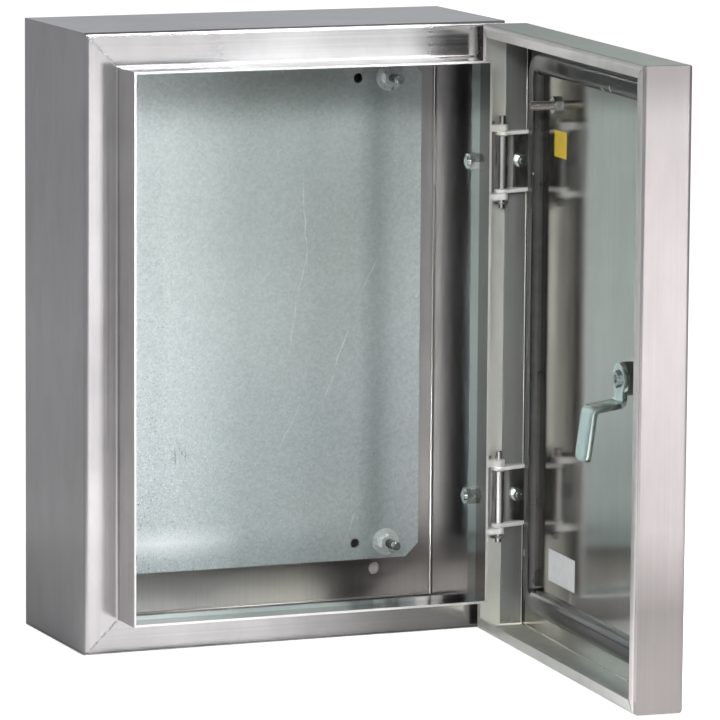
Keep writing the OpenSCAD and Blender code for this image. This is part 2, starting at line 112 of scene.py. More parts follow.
links.new(seen_or_mirrored.outputs[0], glow_level.inputs[0])
links.new(glow_level.outputs[0], glow.inputs["Strength"])
links.new(nodes["Principled BSDF"].outputs[0], both.inputs[0])
links.new(glow.outputs[0], both.inputs[1])
links.new(both.outputs[0], nodes["Material Output"].inputs["Surface"])
floor.data.materials.append(floor_paint)

sky = bpy.data.worlds.new("grey_sky")
bpy.context.scene.world = sky
sky.use_nodes = True
nodes, links = sky.node_tree.nodes, sky.node_tree.links
height = nodes.new("ShaderNodeSeparateXYZ")
fade = nodes.new("ShaderNodeValToRGB")
fade.color_ramp.elements[0].position, fade.color_ramp.elements[0].color = 0, SKY_LOW
fade.color_ramp.elements[1].position, fade.color_ramp.elements[1].color = SKY_TOP, SKY_HIGH
links.new(nodes.new("ShaderNodeTexCoord").outputs["Generated"], height.inputs[0])
links.new(height.outputs["Z"], fade.inputs[0])
links.new(fade.outputs[0], nodes["Background"].inputs["Color"])

# A long soft box lights the front, and a small one hangs close before it. Two narrow ones reach
# the mounting plate and the hinges. Each has its place, what it aims at, its width and length,
# watts, the angle that its light spreads to, and colour.
LIGHTS = {
    "key_light": ((1.1, -2.85, 1.5), (1.0, -2.6, -0.2), (0.8, 3.8), 33, 86, (1.0, 0.98, 0.985)),
    "near_light": ((0.25, -0.80, 1.0), (0.12, -0.42, -0.2), (0.5, 0.5), 2.2, 66, (1.0, 0.97, 0.98)),
    "plate_light": ((0.25, -2.6, 0.9), (-0.09, 0, 0.07), (0.8, 0.8), 0.86, 18, (0.95, 1.0, 1.0)),
    "hinge_light": ((-1.0, -2.2, 0.8), (0.15, -0.2, 0), (0.5, 0.5), 0.8, 14, (1.0, 1.0, 0.99)),
}
for name, (place, aim, size, watts, spread_angle, colour) in LIGHTS.items():
    lamp = bpy.data.lights.new(name, "AREA")
    lamp.shape = "RECTANGLE"
    lamp.size, lamp.size_y = size
    lamp.energy, lamp.color = watts, colour
    lamp.spread = math.radians(spread_angle)
    light = bpy.data.objects.new(name, lamp)
    bpy.context.scene.collection.objects.link(light)
    light.location = place
    light.rotation_euler = (Vector(aim) - Vector(place)).to_track_quat("-Z", "Y").to_euler()
    light.visible_camera = False

# ---------------------------------------------------------------------------------------------
# Body shell. One strip of stainless sheet is folded round the four sides, with a front flange
# and a collar bent out of it. It is left as rolled: bright, with a fine grain along each side.
BODY_W, BODY_H, SHEET = 0.290, 0.400, 0.0015
FRONT_Y, COLLAR_INSET, COLLAR_END = -0.1160, 0.0225, -0.1462
SHADE_EDGE = -0.1300
SHELL_DARK, SHELL_LIGHT = (0.58, 0.57, 0.57), (0.70, 0.69, 0.695)
COLLAR_SHADE_GREEN, SHADE_BROWN = (0.55, 0.62, 0.58), (0.36, 0.31, 0.29)
EDGE_HIGHLIGHT, COLLAR_LEFT_LIGHT = (0.84, 0.83, 0.82), (0.95, 0.94, 0.93)


def streaks(tree, place, stretch, detail=5.0):
    """Noise drawn out along the axes where stretch is small, as the grain of rolled sheet is."""
    turn = tree.nodes.new("ShaderNodeMapping")
    turn.inputs["Scale"].default_value = stretch
    noise = tree.nodes.new("ShaderNodeTexNoise")
    noise.inputs["Scale"].default_value = 1
    noise.inputs["Detail"].default_value = detail
    noise.inputs["Roughness"].default_value = 0.65
    tree.links.new(place, turn.inputs["Vector"])
    tree.links.new(turn.outputs["Vector"], noise.inputs["Vector"])
    return noise.outputs["Fac"]


def math_node(tree, operation, first, second=0):
    """A math node on sockets or numbers, and its output."""
    node = tree.nodes.new("ShaderNodeMath")
    node.operation = operation
    for socket, value in zip(node.inputs, (first, second)):
        if isinstance(value, (int, float)):
            socket.default_value = value
        else:
            tree.links.new(value, socket)
    return node.outputs[0]


def total(tree, first, *others):
    """Values added up."""
    for other in others:
        first = math_node(tree, "ADD", first, other)
    return first


def product(tree, first, *others):
    """Values multiplied. Of masks from 0 to 1 it leaves what all of them cover."""
    for other in others:
        first = math_node(tree, "MULTIPLY", first, other)
    return first


def above(tree, value, limit):
    """1 where value is more than limit, and 0 elsewhere."""
    return math_node(tree, "GREATER_THAN", value, limit)


def below(tree, value, limit):
    """1 where value is less than limit, and 0 elsewhere."""
    return math_node(tree, "LESS_THAN", value, limit)


def away(tree, value, middle=0):
    """How far value is from middle, to either side."""
    return math_node(tree, "ABSOLUTE", math_node(tree, "SUBTRACT", value, middle))


def spread(tree, value, low, high, start=0.3, end=0.7):
    """Value moved from the range start to end on to the range low to high."""
    node = tree.nodes.new("ShaderNodeMapRange")
    for socket, number in (("From Min", start), ("From Max", end), ("To Min", low), ("To Max", high)):
        node.inputs[socket].default_value = number
    tree.links.new(value, node.inputs["Value"])
    return node.outputs["Result"]


def chosen(tree, amount, first, second):
    """The first of two values where amount is 0, and the second where it is 1."""
    node = tree.nodes.new("ShaderNodeMix")
    tree.links.new(amount, node.inputs[0])
    tree.links.new(first, node.inputs[2])
    tree.links.new(second, node.inputs[3])
    return node.outputs[0]


def mixed(tree, amount, first, second, blend="MIX"):
    """Two colours mixed as far as amount goes from 0 to 1. The first may be a socket."""
    node = tree.nodes.new("ShaderNodeMix")
    node.data_type, node.blend_type = "RGBA", blend
    tree.links.new(amount, node.inputs[0])
    if isinstance(first, tuple):
        node.inputs[6].default_value = (*first, 1)
    else:
        tree.links.new(first, node.inputs[6])
    node.inputs[7].default_value = (*second, 1)
    return node.outputs[2]


def darkened(tree, colour, amount, by):
    """A colour multiplied by another, as far as amount goes from 0 to 1."""
    return mixed(tree, amount, colour, by, "MULTIPLY")


def bumped(tree, height, distance):
    """Gives the shader a bump of that real height, in metres."""
    node = tree.nodes.new("ShaderNodeBump")
    node.inputs["Distance"].default_value = distance
    node.inputs["Strength"].default_value = 1
    tree.links.new(height, node.inputs["Height"])
    tree.links.new(node.outputs["Normal"], tree.nodes["Principled BSDF"].inputs["Normal"])


def new_finish(name, metallic):
    """An empty material with its tree and shader, and the object coordinates for its patterns."""
    finish = bpy.data.materials.new(name)
    finish.use_nodes = True
    tree = finish.node_tree
    tree.nodes["Principled BSDF"].inputs["Metallic"].default_value = metallic
    place = tree.nodes.new("ShaderNodeTexCoord").outputs["Object"]
    return finish, tree, tree.nodes["Principled BSDF"], place


def axes(tree, place):
    """X, Y and Z of a place, each by itself."""
    apart = tree.nodes.new("ShaderNodeSeparateXYZ")
    tree.links.new(place, apart.inputs[0])
    return apart.outputs["X"], apart.outputs["Y"], apart.outputs["Z"]


def put_on(finish, *names):
    """CAD nodes take that finish."""
    for node_name in names:
        cad[node_name].data.materials.clear()
        cad[node_name].data.materials.append(finish)


shell_steel, tree, shader, place = new_finish("rolled_shell_steel", 1)
x, y, z = axes(tree, place)
to_side = math_node(tree, "SUBTRACT", away(tree, x), BODY_W / 2)
to_end = math_node(tree, "SUBTRACT", away(tree, z), BODY_H / 2)
on_front = below(tree, y, FRONT_Y + 0.0010)
upright = total(tree, streaks(tree, place, (900, 6, 5)), streaks(tree, place, (6, 900, 5)))
level = total(tree, streaks(tree, place, (5, 900, 6)), streaks(tree, place, (5, 6, 900)))
grain = chosen(tree, above(tree, to_side, to_end), level, upright)
cloud = streaks(tree, place, (9, 9, 9), 2.0)
metal = mixed(tree, spread(tree, grain, 0, 1, 0.75, 1.25), SHELL_DARK, SHELL_LIGHT)
# Painted shade: inside the opening the collar is darkened greenish, and its free half a deeper brown.
INSIDE_COLLAR = -COLLAR_INSET - 0.0007
in_opening = product(tree, below(tree, to_side, INSIDE_COLLAR), below(tree, to_end, INSIDE_COLLAR))
in_collar = product(tree, in_opening, spread(tree, y, 1, 0, FRONT_Y - 0.0005, FRONT_Y + 0.0020))
metal = darkened(tree, metal, product(tree, in_collar, 0.8), COLLAR_SHADE_GREEN)
shaded_free_half = product(
    tree, in_opening, spread(tree, y, 1, 0, SHADE_EDGE - 0.0008, SHADE_EDGE + 0.0008),
    spread(tree, y, 0, 1, COLLAR_END + 0.0001, COLLAR_END + 0.0004),
)
metal = darkened(tree, metal, shaded_free_half, SHADE_BROWN)
# Painted reflection: the flange is darkened at its foot below the hinge, where it mirrors the open door.
door_reflection_shade = product(tree, on_front, spread(tree, x, 0, 1, -0.02, 0.07), spread(tree, z, 1, 0, -0.180, -0.150))
metal = darkened(tree, metal, door_reflection_shade, (0.48, 0.47, 0.46))
# The flange is butt welded on its mitres, and only roughly ground there.
on_mitre = product(
    tree, on_front, above(tree, y, FRONT_Y - SHEET),
    spread(tree, away(tree, to_side, to_end), 1, 0, 0.0004, 0.0016),
    spread(tree, streaks(tree, place, (420, 420, 420), 2.0), 0, 1, 0.46, 0.54),
)
metal = darkened(tree, metal, on_mitre, (0.60, 0.60, 0.60))
smudge = spread(tree, streaks(tree, place, (40, 40, 20), 3.0), 0, 0.35, 0.45, 0.65)
metal = darkened(tree, metal, smudge, (0.80, 0.80, 0.80))
# The cut edge of the collar takes a painted highlight and is rougher; the top of the box is a little
# darker.
cut_edge_highlight = below(tree, y, COLLAR_END + SHEET / 10)
metal = mixed(tree, cut_edge_highlight, metal, EDGE_HIGHLIGHT)
metal = darkened(tree, metal, above(tree, z, BODY_H / 2 - 0.0006), (0.87, 0.87, 0.87))
# The collar's left side is lighter higher up, and darker lower down.
on_collar_left = product(
    tree, below(tree, y, FRONT_Y - SHEET), below(tree, away(tree, x, COLLAR_INSET - BODY_W / 2), 0.0006)
)
metal = mixed(tree, product(tree, on_collar_left, spread(tree, z, 0, 1, 0, 0.15)), metal, COLLAR_LEFT_LIGHT)
collar_left_darker = product(tree, on_collar_left, spread(tree, z, 1, 0, -0.16, 0))
metal = darkened(tree, metal, collar_left_darker, (0.62, 0.61, 0.60))
# The upper flange has been linished over its right half.
linished = product(
    tree, on_front, above(tree, z, BODY_H / 2 - 0.025),
    spread(tree, x, 0, 1, -0.075, -0.010), spread(tree, x, 1, 0, 0.075, 0.105),
)
# Painted shade: the outer left wall is darker towards its foot, where it mirrors the shadowed floor.
on_left = below(tree, x, SHEET / 2 - BODY_W / 2)
metal = darkened(tree, metal, product(tree, on_left, spread(tree, z, 1, 0, -0.2, 0)), (0.52, 0.53, 0.53))
# Dust and finger marks lie on the inner face of the bottom wall, and its darkening there is also painted
# shade.
on_bottom = below(tree, away(tree, z, SHEET - BODY_H / 2), 0.0004)
dust_and_shade = product(tree, on_bottom, spread(tree, streaks(tree, place, (40, 25, 40), 3.0), 0.6, 1))
metal = darkened(tree, metal, dust_and_shade, (0.48, 0.50, 0.50))
tree.links.new(metal, shader.inputs["Base Color"])
rough = total(
    tree, spread(tree, grain, 0.10, 0.18, 0.75, 1.25), spread(tree, cloud, 0, 0.05),
    product(tree, dust_and_shade, 0.12), product(tree, total(tree, cut_edge_highlight, on_mitre, linished), 0.3),
)
tree.links.new(rough, shader.inputs["Roughness"])
bumped(tree, grain, 0.000012)
put_on(shell_steel, "body_shell")

# ---------------------------------------------------------------------------------------------
# Back panel. A plain sheet welded in behind the shell, duller than the outside of the box, with
# painted shade along its foot on the right.
back_steel, tree, shader, place = new_finish("dull_back_steel", 1)
x, _, z = axes(tree, place)
grain = total(tree, streaks(tree, place, (500, 30, 12)), streaks(tree, place, (30, 30, 30)))
metal = mixed(tree, spread(tree, grain, 0, 1, 0.6, 1.4), (0.46, 0.45, 0.44), (0.56, 0.55, 0.54))
foot_shade = product(tree, spread(tree, z, 1, 0, -0.175, -0.15), spread(tree, x, 0.35, 1, -0.08, 0.11))
tree.links.new(darkened(tree, metal, foot_shade, (0.40, 0.38, 0.37)), shader.inputs["Base Color"])
tree.links.new(spread(tree, grain, 0.28, 0.36, 0.6, 1.4), shader.inputs["Roughness"])
bumped(tree, grain, 0.000002)
put_on(back_steel, "back_panel")

# ---------------------------------------------------------------------------------------------
# Mounting plate. Hot-dip galvanised sheet, with a fine spangle, dark specks and long scratches
# from being slid over benches.
SPANGLE_SCALE = 620
ZINC_DARK, ZINC_LIGHT = (0.56, 0.62, 0.61), (0.76, 0.83, 0.825)
SHADOW_RUN_X, HIGHLIGHT_RUN_Z = 0.093, -0.148
SCUFF = (-0.047, -0.024, -0.090)
# Lowest and highest z, x at the lowest z, lean in x for each z, and half width, in metres.
SCRATCHES = (
    (-0.045, 0.045, 0.026, 0.20, 0.0005),
    (0.025, 0.100, 0.0435, -0.06, 0.0005),
    (-0.065, 0.055, 0.0515, 0.41, 0.0005),
    (-0.160, -0.110, 0.0690, 0.43, 0.0006),
    (-0.090, -0.055, 0.0240, 0.50, 0.0006),
    (-0.088, -0.062, 0.0420, -0.62, 0.0005),
)
SCRATCH_FADE, SCRATCH_WANDER = 0.02, 0.0015
plate_zinc, tree, shader, place = new_finish("galvanised_sheet", 0.75)
x, y, z = axes(tree, place)
crystals = tree.nodes.new("ShaderNodeTexVoronoi")
crystals.inputs["Scale"].default_value = SPANGLE_SCALE
tree.links.new(place, crystals.inputs["Vector"])
spangle = tree.nodes.new("ShaderNodeSeparateColor")
tree.links.new(crystals.outputs["Color"], spangle.inputs[0])
mottle = streaks(tree, place, (260, 260, 260), 6.0)
cloud = streaks(tree, place, (14, 14, 10), 3.0)
shade = total(
    tree, product(tree, spangle.outputs[0], 0.5),
    spread(tree, mottle, 0, 0.25), spread(tree, cloud, 0, 0.25),
)
metal = mixed(tree, shade, ZINC_DARK, ZINC_LIGHT)
# Painted shade darkens the zinc over the middle and lower down, and a painted shadow lies in an upright
# run on the right.
middle = product(tree, spread(tree, x, 0, 1, -0.095, 0), spread(tree, x, 1, 0.1, 0.05, 0.115))
metal = darkened(tree, metal, middle, (0.60, 0.61, 0.60))
metal = darkened(tree, metal, spread(tree, z, 1, 0, -0.08, 0.02), (0.92, 0.93, 0.96))
shadow_run = spread(tree, away(tree, x, SHADOW_RUN_X), 1, 0, 0.002, 0.013)
metal = darkened(tree, metal, shadow_run, (0.76, 0.77, 0.77))
# Dark specks and painted glints are thickest low on the left.
left_low = product(tree, spread(tree, x, 1, 0.1, -0.07, 0), spread(tree, z, 1, 0.2, -0.1, 0.1))
specks = spread(tree, streaks(tree, place, (700, 700, 700), 1.0), 0, 1, 0.66, 0.70)
metal = darkened(tree, metal, product(tree, specks, left_low), (0.45, 0.45, 0.45))
glints = spread(tree, streaks(tree, place, (1300, 1300, 1300), 1.0), 0.8, 0, 0.34, 0.40)
metal = mixed(tree, product(tree, glints, left_low), metal, (0.95, 0.98, 1.0))
# A painted highlight runs near the foot on the left, and a scuff lies above it.
highlight_run = product(
    tree, spread(tree, away(tree, z, HIGHLIGHT_RUN_Z), 0.7, 0, 0, 0.012), spread(tree, x, 1, 0, -0.06, 0)
)
metal = mixed(tree, highlight_run, metal, (0.97, 0.99, 1.0))
far_off = tree.nodes.new("ShaderNodeVectorMath")
far_off.operation = "DISTANCE"
far_off.inputs[1].default_value = SCUFF
tree.links.new(place, far_off.inputs[0])
scuff = product(
    tree, spread(tree, far_off.outputs["Value"], 1, 0, 0.003, 0.010),
    spread(tree, streaks(tree, place, (300, 300, 90), 4.0), 0, 1, 0.5, 0.56),
)
metal = darkened(tree, metal, scuff, (0.55, 0.56, 0.56))
wander = spread(tree, streaks(tree, place, (30, 30, 30), 2.0), -SCRATCH_WANDER, SCRATCH_WANDER)
broken = spread(tree, streaks(tree, place, (90, 90, 90), 3.0), 0, 0.8, 0.4, 0.6)
scratched = 0
for low, high, x_at, lean, width in SCRATCHES:
    line = product(tree, math_node(tree, "SUBTRACT", z, low), lean)
    off = math_node(tree, "SUBTRACT", math_node(tree, "SUBTRACT", x, line), x_at)
    mark = product(
        tree, spread(tree, away(tree, total(tree, off, wander)), 1, 0, 0, width), broken,
        spread(tree, z, 0, 1, low, low + SCRATCH_FADE), spread(tree, z, 1, 0, high - SCRATCH_FADE, high),
    )
    scratched = math_node(tree, "MAXIMUM", scratched, mark)
tree.links.new(mixed(tree, scratched, metal, (0.78, 0.83, 0.82)), shader.inputs["Base Color"])
tree.links.new(spread(tree, spangle.outputs[1], 0.32, 0.5, 0, 1), shader.inputs["Roughness"])
bumped(tree, shade, 0.00005)
put_on(plate_zinc, "mounting_plate")

# ---------------------------------------------------------------------------------------------
# Plate fixings. Zinc plated spacers, washers and nuts hold the mounting plate on its studs. The
# washers and nuts are the paler ones.
def even_finish(name, metallic, scale, detail, colours, roughness, bump=0):
    """A finish of one fine grain, which moves it between two colours and two roughnesses."""
    finish, tree, shader, place = new_finish(name, metallic)
    grain = streaks(tree, place, (scale, scale, scale), detail)
    tree.links.new(mixed(tree, spread(tree, grain, 0, 1), *colours), shader.inputs["Base Color"])
    tree.links.new(spread(tree, grain, *roughness), shader.inputs["Roughness"])
    if bump:
        bumped(tree, grain, bump)
    return finish


zinc = even_finish("zinc_plating", 1, 420, 4.0, ((0.60, 0.65, 0.63), (0.74, 0.79, 0.77)), (0.20, 0.28))
put_on(zinc, "plate_studs", "plate_spacers")
washer_zinc = even_finish(
    "washer_zinc", 0.8, 300, 2.0, ((0.80, 0.85, 0.84), (0.90, 0.95, 0.94)), (0.26, 0.34)
)
put_on(washer_zinc, "plate_washers", "plate_nuts")

# ---------------------------------------------------------------------------------------------
# Plate studs. Rolled steel studs welded to the back, with an M6 thread and a short turned tip.
# One is made along Z, and copies of it are laid down pointing to the front.
STUD_R, THREAD_PITCH, THREAD_DEEP = 0.0030, 0.0010, 0.00035
THREAD_FLANK, THREAD_ROOT = 0.45, 0.10
STUD_X, STUD_Z = 0.101, 0.156
STUD_PLAIN, STUD_TIP, TIP_EASE, TIP_END = 0.0255, 0.0030, 0.0005, 0.8
NECK_SLOPE, NECK_LONG = 0.0002, 0.0005
NECK_WIDE, TIP_WIDE = 0.75, 0.9375


def new_solid(name, sides, radius):
    """A round face at the origin, in edit mode, ready to be drawn up into a turned piece."""
    bpy.ops.object.select_all(action="DESELECT")
    bpy.ops.mesh.primitive_circle_add(vertices=sides, radius=radius, fill_type="NGON")
    piece = bpy.context.object
    piece.name = piece.data.name = name
    bpy.ops.object.mode_set(mode="EDIT")
    bpy.ops.mesh.select_all(action="SELECT")
    return piece


def draw_up(at, rise, scale=1.0):
    """Extrudes the selected end from height at by rise, and scales it. Gives the new height."""
    bpy.ops.mesh.extrude_region_move(TRANSFORM_OT_translate={"value": (0, 0, rise)})
    if scale != 1.0:
        bpy.ops.transform.resize(value=(scale, scale, 1), center_override=(0, 0, at + rise))
    return at + rise


def threaded(at, length):
    """Draws a thread up from the height at."""
    narrow = 1 - THREAD_DEEP / STUD_R
    for _ in range(round(length / THREAD_PITCH)):
        at = draw_up(at, THREAD_PITCH * THREAD_FLANK, narrow)
        at = draw_up(at, THREAD_PITCH * THREAD_ROOT)
        at = draw_up(at, THREAD_PITCH * THREAD_FLANK, 1 / narrow)
    return at


def close_solid(piece, smooth=40):
    """Leaves edit mode with every face pointing outwards, and rounds the shading."""
    bpy.ops.mesh.select_all(action="SELECT")
    bpy.ops.mesh.remove_doubles(threshold=0.000001)
    bpy.ops.mesh.normals_make_consistent(inside=False)
    bpy.ops.object.mode_set(mode="OBJECT")
    bpy.ops.object.shade_smooth_by_angle(angle=math.radians(smooth))


def settle(piece, finish, body, place):
    """Puts a finished piece in place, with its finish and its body."""
    piece.data.transform(place)
    piece.data.materials.clear()
    piece.data.materials.append(finish)
    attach(piece, body)


def copied(piece, name):
    """A copy with a mesh of its own."""
    twin = piece.copy()
    twin.data = piece.data.copy()
    twin.name = twin.data.name = name
    bpy.context.scene.collection.objects.link(twin)
    return twin


def at_corners(piece, name, finish, x, y, z):
    """Settles a piece and three copies of it at the corners of the case, pointing to the front."""
    ends = ("lower_right", "upper_left", "upper_right")
    pieces = [piece] + [copied(piece, f"{name}_{end}") for end in ends]
    for twin, (side, end) in zip(pieces, ((-1, -1), (1, -1), (-1, 1), (1, 1))):
        lay_down = Matrix.Translation((side * x, y, end * z)) @ Matrix.Rotation(math.pi / 2, 4, "X")
        settle(twin, finish, "case", lay_down)
    return pieces


low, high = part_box("plate_studs")
stud_long = high.y - low.y
stud = new_solid("plate_stud_lower_left", 20, STUD_R)
at = draw_up(0, STUD_PLAIN)
at = threaded(at, stud_long - STUD_PLAIN - STUD_TIP - NECK_SLOPE - NECK_LONG)
at = draw_up(at, NECK_SLOPE, NECK_WIDE)
at = draw_up(at, NECK_LONG)
at = draw_up(at, NECK_SLOPE, TIP_WIDE / NECK_WIDE)
at = draw_up(at, stud_long - at - TIP_EASE)
draw_up(at, TIP_EASE, TIP_END)
close_solid(stud, 35)
for stud in at_corners(stud, "plate_stud", zinc, STUD_X, high.y, STUD_Z):
    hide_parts("plate_studs")

# ---------------------------------------------------------------------------------------------
# Wall hole shade. Grey discs in the four wall holes stand in for the shade seen through them. Each
# sits in its hole just inside the back, with a shallow dish in its face.
DISC_R, WALL_X, WALL_Z = 0.0039, 0.102, 0.178
DISC_LONG, DISC_EASE, DISH_DEEP, DISC_SUNK = 0.0009, 0.0001, 0.0003, 0.0002
DISC_END, DISH_WIDE, DISH_TAPER = 0.96, 0.80, 0.97
hole_shade_grey = even_finish(
    "hole_shade_finish", 0, 500, 4.0, ((0.30, 0.29, 0.28), (0.38, 0.37, 0.36)), (0.4, 0.55)
)
shade_disc = new_solid("hole_shade_disc_lower_left", 24, DISC_R)
at = draw_up(0, DISC_LONG)
at = draw_up(at, DISC_EASE, DISC_END)
at = draw_up(at, 0, DISH_WIDE)
draw_up(at, -DISH_DEEP, DISH_TAPER)
close_solid(shade_disc)
at_corners(shade_disc, "hole_shade_disc", hole_shade_grey, WALL_X, -DISC_SUNK, WALL_Z)

# ---------------------------------------------------------------------------------------------
# Back seam. A smooth run of weld closes the corner between the back and the four walls, all the
# way round. It is as dull as the back.
SEAM_R, SEAM_PROUD = 0.0011, 0.4
bpy.ops.object.select_all(action="DESELECT")
bpy.ops.mesh.primitive_plane_add(size=1, rotation=(math.pi / 2, 0, 0))
seam = bpy.context.object
seam.name = seam.data.name = "back_seam"
bpy.ops.object.transform_apply(location=True, rotation=True, scale=True)
seam.data.transform(Matrix.Diagonal((BODY_W - 2 * SHEET - SEAM_R, 1, BODY_H - 2 * SHEET - SEAM_R, 1)))
bpy.ops.object.mode_set(mode="EDIT")
bpy.ops.mesh.select_all(action="SELECT")
bpy.ops.mesh.delete(type="ONLY_FACE")
bpy.ops.object.mode_set(mode="OBJECT")
bpy.ops.object.convert(target="CURVE")
seam = bpy.context.object
seam.data.bevel_depth, seam.data.bevel_resolution = SEAM_R, 3
bpy.ops.object.convert(target="MESH")
seam = bpy.context.object
bpy.ops.object.shade_smooth_by_angle(angle=math.radians(40))
settle(seam, back_steel, "case", Matrix.Translation((0, -SHEET - SEAM_R * SEAM_PROUD, 0)))

# ---------------------------------------------------------------------------------------------
# Hinges. Pins and sleeves are polished, the brackets on the case a little rough and painted bright as
# a painted highlight, the pressed brackets on the door darker. Bolts and nuts are zinc plated, the clips
# of spring steel.
HINGE_ROW, EAR_IN = 0.110, 0.0176
EAR_HIGHLIGHT, EAR_METALLIC = (0.92, 0.93, 0.92), 0.35


def both_rows(*parts):
    """The nodes of that name at the upper hinge and at the lower one."""
    return [f"{row}_{part}" for row in ("upper", "lower") for part in parts]


def hinge_finish(name, metallic, colours, roughness):
    """A smooth finish with a broad grain. Its tree, shader, place and colour come with it."""
    finish, tree, shader, place = new_finish(name, metallic)
    grain = streaks(tree, place, (150, 150, 60), 2.0)
    metal = mixed(tree, spread(tree, grain, 0, 1), *colours)
    tree.links.new(metal, shader.inputs["Base Color"])
    tree.links.new(spread(tree, grain, *roughness), shader.inputs["Roughness"])
    return finish, tree, shader, place, metal


pin_steel, *_ = hinge_finish(
    "polished_pin_steel", 1, ((0.80, 0.80, 0.79), (0.88, 0.88, 0.87)), (0.16, 0.22)
)
put_on(pin_steel, *both_rows("hinge_pin", "hinge_sleeve"))
# Painted highlight: the case brackets are made pale and half metallic, so that they look lit.
bracket_highlight_steel, *_ = hinge_finish(
    "bracket_steel_painted_highlight", 0.45, ((0.78, 0.79, 0.78), (0.88, 0.89, 0.88)), (0.28, 0.36)
)
put_on(bracket_highlight_steel, *both_rows("body_bracket"))
pressed_steel, tree, shader, place, metal = hinge_finish(
    "pressed_bracket_steel", 1, ((0.42, 0.42, 0.41), (0.56, 0.56, 0.55)), (0.18, 0.26)
)
# The ears take a painted highlight: pale and less metallic.
*_, z = axes(tree, place)
ears = above(tree, away(tree, away(tree, z), HINGE_ROW), EAR_IN)
tree.links.new(mixed(tree, ears, metal, EAR_HIGHLIGHT), shader.inputs["Base Color"])
tree.links.new(spread(tree, ears, 1, EAR_METALLIC, 0, 1), shader.inputs["Metallic"])
put_on(pressed_steel, *both_rows("door_bracket"))
put_on(zinc, *both_rows("bracket_bolt", "bracket_nut", "door_stud", "door_nut"))
clip_steel = even_finish(
    "spring_clip_steel", 1, 500, 3.0, ((0.25, 0.25, 0.26), (0.42, 0.42, 0.43)), (0.25, 0.4)
)
put_on(clip_steel, *both_rows("pin_clip"))

# ---------------------------------------------------------------------------------------------
# Hinge sleeves. Each is a polished tube that turns on its pin between the ears of the door's
# bracket, with its ends eased.
HINGE_X, HINGE_Y = 0.1357, -0.132
SLEEVE_R, SLEEVE_LONG, SLEEVE_EASE, END_WIDE = 0.0040, 0.0346, 0.0003, 0.94
sleeve = new_solid("upper_rolled_sleeve", 28, SLEEVE_R * END_WIDE)
at = draw_up(0, SLEEVE_EASE, 1 / END_WIDE)
at = draw_up(at, SLEEVE_LONG - 2 * SLEEVE_EASE)
draw_up(at, SLEEVE_EASE, END_WIDE)
close_solid(sleeve, 35)
lower_sleeve = copied(sleeve, "lower_rolled_sleeve")
for piece, row, row_z in ((lower_sleeve, "lower", -HINGE_ROW), (sleeve, "upper", HINGE_ROW)):
    on_pin = Matrix.Translation((HINGE_X, HINGE_Y, row_z - SLEEVE_LONG / 2))
    settle(piece, pin_steel, "door", on_pin)
    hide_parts(f"{row}_hinge_sleeve")

# ---------------------------------------------------------------------------------------------
# Door pan. The same sheet as the shell, folded to a shallow tray. Inside it is nearly a mirror,
# outside it has the upright grain of the sheet. It is drawn standing open, so patterns are
# turned back to the shut door.
DOOR_OPEN = 86
DOOR_H, RIM_Y, PANEL_IN = 0.398, -0.1210, -0.1525
DOOR_TOP, LOWER_LIP = DOOR_H / 2 - 0.0005, 0.0085 - DOOR_H / 2
DOOR_DARK, DOOR_LIGHT = (0.54, 0.505, 0.50), (0.64, 0.605, 0.60)
RIM_HIGHLIGHT, LIP_HIGHLIGHT = (0.92, 0.93, 0.88), (0.90, 0.86, 0.85)


def shut_door_place(tree, place):
    """The object coordinates turned back, so that X and Y run as on the shut door."""
    back = tree.nodes.new("ShaderNodeMapping")
    turn = Matrix.Rotation(math.radians(-DOOR_OPEN), 3, "Z")
    back.inputs["Rotation"].default_value = (0, 0, math.radians(-DOOR_OPEN))
    hinge = Vector((HINGE_X, HINGE_Y, 0))
    back.inputs["Location"].default_value = hinge - turn @ hinge
    tree.links.new(place, back.inputs["Vector"])
    return back.outputs["Vector"]


door_steel, tree, shader, place = new_finish("rolled_door_steel", 1)
place = shut_door_place(tree, place)
x, y, z = axes(tree, place)
grain = total(tree, streaks(tree, place, (900, 6, 5)), streaks(tree, place, (6, 900, 5)))
metal = mixed(tree, spread(tree, grain, 0, 1, 0.75, 1.25), DOOR_DARK, DOOR_LIGHT)
# The panel inside takes a painted greenish tint of the plate it mirrors, and a painted dark
# reflection beside the seal at the hinges. The rim round it is rougher, with a painted highlight.
inside = product(tree, above(tree, y, PANEL_IN - 0.0005), below(tree, away(tree, x), BODY_W / 2 - 0.001))
on_panel = product(tree, inside, below(tree, y, PANEL_IN + 0.0005))
metal = darkened(tree, metal, on_panel, (0.94, 1.0, 0.95))
seal_side_reflection = product(tree, on_panel, spread(tree, x, 0, 1, 0.060, 0.085))
metal = darkened(tree, metal, seal_side_reflection, (0.50, 0.48, 0.46))
rim = math_node(tree, "SUBTRACT", inside, on_panel)
metal = mixed(tree, rim, metal, RIM_HIGHLIGHT)
# The return lips, but for the lower one, take a painted highlight; the top of the door is darker and
# greener.
lip_highlight = product(
    tree, above(tree, y, RIM_Y - SHEET - 0.0003), below(tree, z, DOOR_TOP), above(tree, z, LOWER_LIP),
    spread(tree, grain, 0.4, 1, 0.75, 1.25),
)
metal = mixed(tree, lip_highlight, metal, LIP_HIGHLIGHT)
metal = darkened(tree, metal, above(tree, z, DOOR_TOP), (0.56, 0.61, 0.58))
smudge = spread(tree, streaks(tree, place, (40, 40, 14), 3.0), 0, 0.3, 0.45, 0.65)
metal = darkened(tree, metal, smudge, (0.78, 0.79, 0.78))
